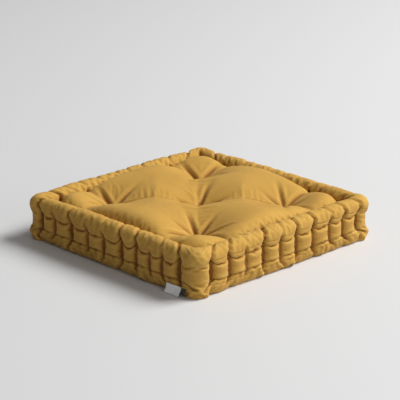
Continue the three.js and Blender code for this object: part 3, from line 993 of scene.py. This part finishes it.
# ---- Making pieces ----
def piece(name, points, face_sets, finish, slot, nodes, maps=None, masks=None):
    """A smooth mesh from points and faces, with its finish, which hides the model's parts that it stands for.
    """
    made = new_object(name, points, face_sets)
    mesh = made.data
    mesh.polygons.foreach_set("use_smooth", np.ones(len(mesh.polygons), bool))
    if maps is not None:
        mesh.uv_layers.new(name="pattern").data.foreach_set("uv", maps.reshape(-1))
    for label, values in (masks or {}).items():
        mesh.attributes.new(label, "FLOAT", "POINT").data.foreach_set("value", values.astype(np.float32))
    mesh.materials.append(finish)
    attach(made, "root")
    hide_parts(*nodes)
    return made


def sheet_of(points, faces, normals, thickness):
    """A closed sheet: the faces, their copy a thickness inside them, and a wall along the free edges."""
    count = len(points)
    inner = points - normals * thickness
    edges = np.concatenate([faces[:, [k, (k + 1) % 4]] for k in range(4)])
    key = np.sort(edges, 1) @ [count, 1]
    _, back, times = np.unique(key, return_inverse=True, return_counts=True)
    free = edges[times[back] == 1]
    wall = np.stack([free[:, 1], free[:, 0], free[:, 0] + count, free[:, 1] + count], -1)
    return np.concatenate([points, inner]), np.concatenate([faces, faces[:, ::-1] + count, wall])


def sheet_maps(flat_map, sheet_faces):
    """A closed sheet's pattern: the same on its two sides, and none on its wall."""
    wall = len(sheet_faces) - 2 * len(flat_map)
    return np.concatenate([flat_map, flat_map[:, ::-1], np.zeros((wall, 4, 2))])


def neighbour_sums(values, faces):
    """The sum of each point's neighbours' values, one for each edge of each of its faces."""
    total = np.zeros(len(values))
    for k in range(4):
        a, b = faces[:, k], faces[:, (k + 1) % 4]
        total += np.bincount(a, values[b], len(values)) + np.bincount(b, values[a], len(values))
    return total


def hollows(points, faces, normals):
    """How far each point lies behind its neighbours' mean, spread out a little: above 0 in a fold.

    (neighbours' mean - point) . normal, and then six times 0.4 of it + 0.6 of the neighbours' mean.
    """
    times = np.maximum(neighbour_sums(np.ones(len(points)), faces), 1)
    total = np.stack([neighbour_sums(points[:, axis], faces) for axis in range(3)], -1)
    lag = np.einsum("ij,ij->i", total / times[:, None] - points, normals)
    for _ in range(6):
        lag = lag * 0.4 + 0.6 * neighbour_sums(lag, faces) / times
    return lag


def pattern_maps(cover):
    """Each face corner's place on the flat cut cloth, in metres, so that the weave follows the cloth."""
    cell = 2 * CUT_SEAM / cover.cells
    roll_cell = TURN * ROLL_RADIUS / cover.roll_rows * (1 + ROLL_DOWN)
    row, place = np.divmod(np.arange(cover.rows * cover.round), cover.round)
    along = place % cover.cells
    corner = np.array([[0, 0], [1, 0], [1, 1], [0, 1]])  # down and along steps of a ring face's corners
    ring = np.stack([
        (along[:, None] + corner[:, 1]) * cell, -(row[:, None] + corner[:, 0]) * roll_cell
    ], -1)
    ring = ring + (place // cover.cells * 0.7)[:, None, None] * [1, 0]  # each side's cloth 70 cm further on
    x, y = np.indices((cover.cells, cover.cells)).reshape(2, -1)
    upper = np.stack([x[:, None] + [0, 1, 1, 0], y[:, None] + [0, 0, 1, 1]], -1) * cell
    lower = np.stack([x[:, None] + [0, 0, 1, 1], y[:, None] + [0, 1, 1, 0]], -1) * cell
    return np.concatenate([ring, upper, lower])


# ---- The cover's six panels ----
CLOTH = 0.0012
UNDER_CLOTH = 0.0003  # how far the inner side stays above the floor, at the least
SEAM_TUCK = 0.0008
SIDE_SEAM_TUCK = 0.0007
FULL_HOLLOW = 0.00028
PANEL_NAMES = [
    "top_panel", "side_panel_front", "side_panel_right", "side_panel_back", "side_panel_left", "bottom_panel",
]
normals = vertex_normals(cloth, cover.faces)
# How deep each point lies in a fold. In the cotton this drives the painted shade in folds and the painted
# highlight on ridges.
hollow_share = np.clip(hollows(cloth, cover.faces, normals) / FULL_HOLLOW, -1.5, 1.5)
tucked = cloth.copy()
for seam in (cover.seam_row, cover.rows - cover.seam_row):
    tucked[cover.ring[seam]] -= SEAM_TUCK * normals[cover.ring[seam]]
side_seams = cover.ring[cover.seam_row:cover.rows - cover.seam_row + 1, cover.first_crease::cover.cells]
tucked[side_seams] -= SIDE_SEAM_TUCK * normals[side_seams]
all_maps = pattern_maps(cover)
roll_cut = SEAM_ROW / ROLL_ROWS * TURN * ROLL_RADIUS * (1 + ROLL_DOWN)
square_cut = 2 * (FIELD + roll_cut) * CROWN_CUT
band_cut = (UPPER_Z - LOWER_Z + 2 * ROLL_RADIUS * math.sin(NECK)) * (1 + BAND_DOWN) + CREST_BULGE
side_cut = (2 * CUT_SEAM, band_cut + 2 * (1 - SEAM_ROW / ROLL_ROWS) * TURN * ROLL_RADIUS * (1 + ROLL_DOWN))
panels = {}
for number, name in enumerate(PANEL_NAMES):
    faces = cover.faces[cover.panels == number]
    used, local = np.unique(faces, return_inverse=True)
    local = local.reshape(faces.shape)
    points, sheet_faces = sheet_of(tucked[used], local, normals[used], CLOTH)
    points[len(used):, 2] = np.maximum(points[len(used):, 2], UNDER_CLOTH)
    points[:, 2] = np.maximum(points[:, 2], 0)
    maps = sheet_maps(all_maps[cover.panels == number], sheet_faces)
    masks = {"hollow": np.tile(hollow_share[used], 2)}
    panels[name] = piece(name + "_cloth", points, [sheet_faces], COTTON, "ochre_cotton", [name], maps, masks)
for name, panel in panels.items():
    flat = side_cut if name.startswith("side") else (square_cut, square_cut)


# ---- Wadding ----
def ring_tube(radius, level, seed):
    """A lumpy tube round the cushion, about a rounded square's line: radius (1 - 0.45 dip) (1 + noise)."""
    body, turns = Cover(1), 28
    line = body.around(np.array([ROLL_H]), np.array([0.02]))[0]
    out = np.concatenate([level_outward(line), np.zeros((body.round, 1))], 1)[:, None]
    angle = np.linspace(0, 2 * np.pi, turns, endpoint=False)
    spoke = out * np.cos(angle)[None, :, None] + np.array([0, 0, 1.0]) * np.sin(angle)[None, :, None]
    centre = np.concatenate([line, np.full((body.round, 1), level)], 1)[:, None]
    lumps = 1 + 0.05 * smooth_noise(centre + spoke * radius, 0.02, seed)
    points = centre + spoke * (radius * (1 - 0.45 * body.dip[:, None]) * lumps)[..., None]
    index = np.arange(body.round * turns).reshape(body.round, turns)
    ahead, up = np.roll(index, -1, 0), np.roll(index, -1, 1)
    faces = np.stack([index, ahead, np.roll(ahead, -1, 1), up], -1).reshape(-1, 4)
    return points.reshape(-1, 3), faces


CORE_UNDER = 0.010  # how far the core lies under the field's cloth
CORE_OVER = 0.004  # and over the bottom's
CORE_HALF = FIELD - 0.006


def core_shape():
    """The core: the field's two squares drawn in by a clearance, and a side that bulges between the rolls.

    The side stands out by 12 mm cos(pi / 2 share from its middle)^2. Near its edge each square goes
    straight over to the side's height.
    """
    body = Cover(1)
    share = np.linspace(0, 1, body.rows + 1)
    level = RIM_Z - CORE_UNDER - (RIM_Z - LOWER_RIM_Z - 0.014) * share
    middle = np.clip((share - 0.5) / 0.2, -1, 1)
    half = CORE_HALF + 0.012 * np.cos(np.pi / 2 * middle) ** 2
    plan = body.around(half, np.full(body.rows + 1, 0.012))
    ring = np.concatenate([plan, np.broadcast_to(level[:, None, None], (*plan.shape[:2], 1))], -1)
    x, y = body.flat_square(CORE_HALF)
    furthest = np.maximum(np.abs(x), np.abs(y))
    edge = np.clip((CORE_HALF - furthest) / 0.02, 0, 1)
    top = np.minimum(body.lobes(x, y) - CORE_UNDER, LOBE_Z - 0.012)
    top = RIM_Z - CORE_UNDER + (top - RIM_Z + CORE_UNDER) * edge
    to_rim, to_tuft = hollow(FIELD - furthest, RIM_REACH), hollow(tuft_distance(x, y), TUFT_REACH)
    bottom = np.maximum(LOWER_RIM_Z * to_rim, TUFT_BOTTOM * to_tuft) + CORE_OVER
    bottom = level[-1] + (bottom - level[-1]) * edge
    points = body.assemble(ring, np.stack([x, y, top], -1), np.stack([x, y, bottom], -1))
    points[:, 2] += 0.0008 * smooth_noise(points, 0.018, 31)
    return points, body.faces


core_points, core_faces = core_shape()
core = piece("core_filling", core_points, [core_faces], WADDING, "fibre_wadding", ["core_wadding"])
for which, level, seed in (("upper", UPPER_Z, 3), ("lower", LOWER_Z + 0.001, 4)):
    points, faces = ring_tube(0.0105, level, seed)
    nodes = [f"{which}_roll_wadding"]
    roll = piece(f"{which}_roll_filling", points, [faces], WADDING, "fibre_wadding", nodes)


# ---- Stitches, ties and labels ----
def thread_along(path, radius, turns):
    """A closed thread along each of many paths, (paths, points, 3), thinned to a point at its ends.

    Across the path the section is a circle, radius (sin)^0.35 of the share along it.
    """
    ways = np.gradient(path, axis=1)
    ways /= np.linalg.norm(ways, axis=-1, keepdims=True) + 1e-12
    side = np.cross(ways, [0.31, 0.22, 0.92])
    side /= np.linalg.norm(side, axis=-1, keepdims=True)
    up = np.cross(side, ways)
    paths, steps = path.shape[:2]
    angle = np.linspace(0, 2 * np.pi, turns, endpoint=False)
    width = radius * np.sin(np.pi * np.linspace(0.02, 0.98, steps)) ** 0.35
    spoke = side[:, :, None] * np.cos(angle)[:, None] + up[:, :, None] * np.sin(angle)[:, None]
    points = path[:, :, None] + spoke * width[None, :, None, None]
    ends = np.stack([path[:, 0], path[:, -1]], 1)
    index = np.arange(paths * steps * turns).reshape(paths, steps, turns)
    ahead = np.roll(index, -1, 2)
    wall = np.stack([index[:, :-1], ahead[:, :-1], ahead[:, 1:], index[:, 1:]], -1).reshape(-1, 4)
    span = np.linalg.norm(np.diff(path, axis=1), axis=-1)
    along = np.concatenate([np.zeros((paths, 1)), np.cumsum(span, 1)], 1)
    round_it = np.arange(turns) / turns
    low = np.stack(np.broadcast_arrays(along[:, :-1, None], round_it), -1)
    high = np.stack(np.broadcast_arrays(along[:, 1:, None], round_it), -1)
    step = np.array([0, 1 / turns])
    maps = np.stack([low, low + step, high + step, high], 3).reshape(-1, 4, 2)
    tip = len(index.reshape(-1)) + np.arange(2 * paths).reshape(paths, 2)
    tips = []
    for end, loop in ((0, index[:, 0]), (1, index[:, -1])):
        for k in range(turns):
            a, b = loop[:, k], loop[:, (k + 1) % turns]
            first, second = (b, a) if end == 0 else (a, b)
            tips.append(np.stack([first, second, tip[:, end]], -1))
    return np.concatenate([points.reshape(-1, 3), ends.reshape(-1, 3)]), wall, np.concatenate(tips), maps


def thread_piece(name, path, radius, nodes, turns=10):
    """A piece made of a thread along each of the paths."""
    points, wall, tips, maps = thread_along(path, radius, turns)
    maps = np.concatenate([maps.reshape(-1), np.zeros(len(tips) * 6)])
    return piece(name, points, [wall, tips], COTTON_THREAD, "ochre_thread", nodes, maps)


def stitch_paths(row, shift):
    """A short stitch across each crease of a stitched line, sunk halfway into the cloth at its ends."""
    paths = []
    for side in range(4):
        places, _, _, lean = creases(side)
        for place in places + SLANTS[side] * shift * lean / HALF:
            spot = side * cover.cells + round((place + 1) / 2 * cover.cells)
            steps = np.arange(-3, 4)
            points = cloth[cover.ring[row][(spot + steps) % cover.round]]
            outward = normals[cover.ring[row][spot % cover.round]]
            lift = (0.0009 - 0.0022 * (steps / 3) ** 2)[:, None]
            t = (steps[:, None] + 3) / 6
            line = points[0] + (points[-1] - points[0]) * t
            paths.append(0.5 * line + 0.5 * points + lift * outward)
    return np.array(paths)


for which, neck, rim in (("upper", cover.necks[0], 0), ("lower", cover.necks[1], cover.rows)):
    path = np.concatenate([stitch_paths(neck, 0.0), stitch_paths(rim, SKEW)])
    thread_piece(f"{which}_roll_stitches", path, 0.0008, [f"{which}_roll_thread"])


def tie_paths(x, y):
    """A doubled thread through the cushion, ending above and below in a small bow over the cloth.

    A bow's height is 1.2 mm sin(pi share) - 2.2 mm (share from its middle)^4, and the threads through
    the cushion wind twice round a line, 0.9 mm from it.
    """
    steps, reach, aside = 15, 0.0042, 0.0009
    low, high = TUFT_BOTTOM - 0.0016, TUFT_TOP + 0.0016
    angle = np.linspace(0, 2 * np.pi, steps)
    share = np.linspace(-1, 1, steps)
    bow = 0.0012 * np.sin(np.pi * np.linspace(0, 1, steps)) - 0.0022 * share ** 4
    paths = []
    for turn in (0.6, 2.2):
        across = (x + share * reach * math.cos(turn), y + share * reach * math.sin(turn))
        paths += [np.stack([*across, level + way * bow], -1) for level, way in ((high, 1), (low, -1))]
        paths.append(np.stack([
            x + aside * np.cos(angle * 2 + turn), y + aside * np.sin(angle * 2 + turn),
            np.linspace(low + 0.002, high - 0.002, steps),
        ], -1))
    return np.array(paths)


for tie, (x, y) in zip(TIES, TUFT_POINTS):
    thread_piece(f"tuft_tie_{tie}_thread", tie_paths(x, y), 0.0011, [f"tuft_tie_{tie}"], turns=12)


def outer_face(x, z, reach=0.006):
    """How far the front of the cover stands out near a place, as -y."""
    front = cloth[cover.ring[:, :cover.cells + 1].ravel()]
    away = np.hypot(front[None, :, 0] - x.reshape(-1, 1), front[None, :, 2] - z.reshape(-1, 1))
    out = np.where(away < reach, -front[None, :, 1], -1)
    return out.max(1).reshape(x.shape)


def label_shape(name, flare):
    """A tape bent to lie on the cover, smoothed over its folds, and lifting towards its foot.

    Out: the cover + 1.4 mm + flare (1 - v)^2 + 0.6 mm sin(2 pi (1.3 u + 0.2)) (1 - v), with u along
    the tape and v up it.
    """
    low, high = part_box(name)
    across, down = 28, 16
    u, v = np.meshgrid(np.linspace(0, 1, across + 1), np.linspace(0, 1, down + 1), indexing="ij")
    x = low.x + (high.x - low.x) * u
    z = low.z + (high.z - low.z) * v
    face = outer_face(x, z)
    for _ in range(10):
        face[1:-1] = (face[:-2] + face[2:]) / 2
        face[:, 1:-1] = (face[:, :-2] + face[:, 2:]) / 2
    out = np.maximum(face, face.max() - 0.004) + 0.0014 + flare * (1 - v) ** 2
    out += 0.0006 * np.sin(2 * np.pi * (u * 1.3 + 0.2)) * (1 - v)
    points = np.stack([x, -out, z], -1)
    index = np.arange(points[..., 0].size).reshape(across + 1, down + 1)
    faces = np.stack([index[:-1, :-1], index[1:, :-1], index[1:, 1:], index[:-1, 1:]], -1).reshape(-1, 4)
    flat = points.reshape(-1, 3)
    maps = np.stack([x, z], -1).reshape(-1, 2)[faces]
    return flat, faces, maps


TAPE = 0.0008
for name, finish, slot, flare in (
    ("brand_label", WHITE_SATIN, "white_satin", 0.013), ("care_label", BLACK_SATIN, "black_satin", 0.006)
):
    flat, faces, flat_map = label_shape(name, flare)
    points, sheet_faces = sheet_of(flat, faces, vertex_normals(flat, faces), TAPE)
    maps = sheet_maps(flat_map, sheet_faces)
    label = piece(name + "_tape", points, [sheet_faces], finish, slot, [name], maps)
    low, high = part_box(name)

# ---- Stage ----
bpy.context.scene.view_settings.view_transform = "Standard"
corners = np.array([[-6, -6, 0], [6, -6, 0], [6, 6, 0], [-6, 6, 0]], float)
floor = new_object("floor", corners, [np.array([[0, 1, 2, 3]])])
pale = bpy.data.materials.new("pale floor")
pale.use_nodes = True
pale.node_tree.nodes["Principled BSDF"].inputs["Base Color"].default_value = (0.66, 0.66, 0.66, 1)
floor.data.materials.append(pale)
floor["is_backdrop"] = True


def area_light(name, place, size, power):
    """A square light that faces the cushion's middle."""
    aim = Vector((0, 0, 0.05))
    data = bpy.data.lights.new(name, "AREA")
    data.size = size
    data.energy = power
    lamp = bpy.data.objects.new(name, data)
    lamp.location = place
    lamp.rotation_euler = (Vector(place) - aim).to_track_quat("Z", "Y").to_euler()
    bpy.context.scene.collection.objects.link(lamp)


area_light("window", (3.1, 5.2, 6.3), 4.6, 1060)
area_light("fill", (6.6, -0.8, 2.4), 2.5, 90)
world = bpy.data.worlds.new("studio")
bpy.context.scene.world = world
world.use_nodes = True
world.node_tree.nodes["Background"].inputs["Color"].default_value = (1, 1, 1, 1)
world.node_tree.nodes["Background"].inputs["Strength"].default_value = 0.20

# ---- Finish ----
boxes = {"model": model_box, "visual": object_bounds()}
{name: [[float(v) for v in corner] for corner in box] for name, box in boxes.items()}
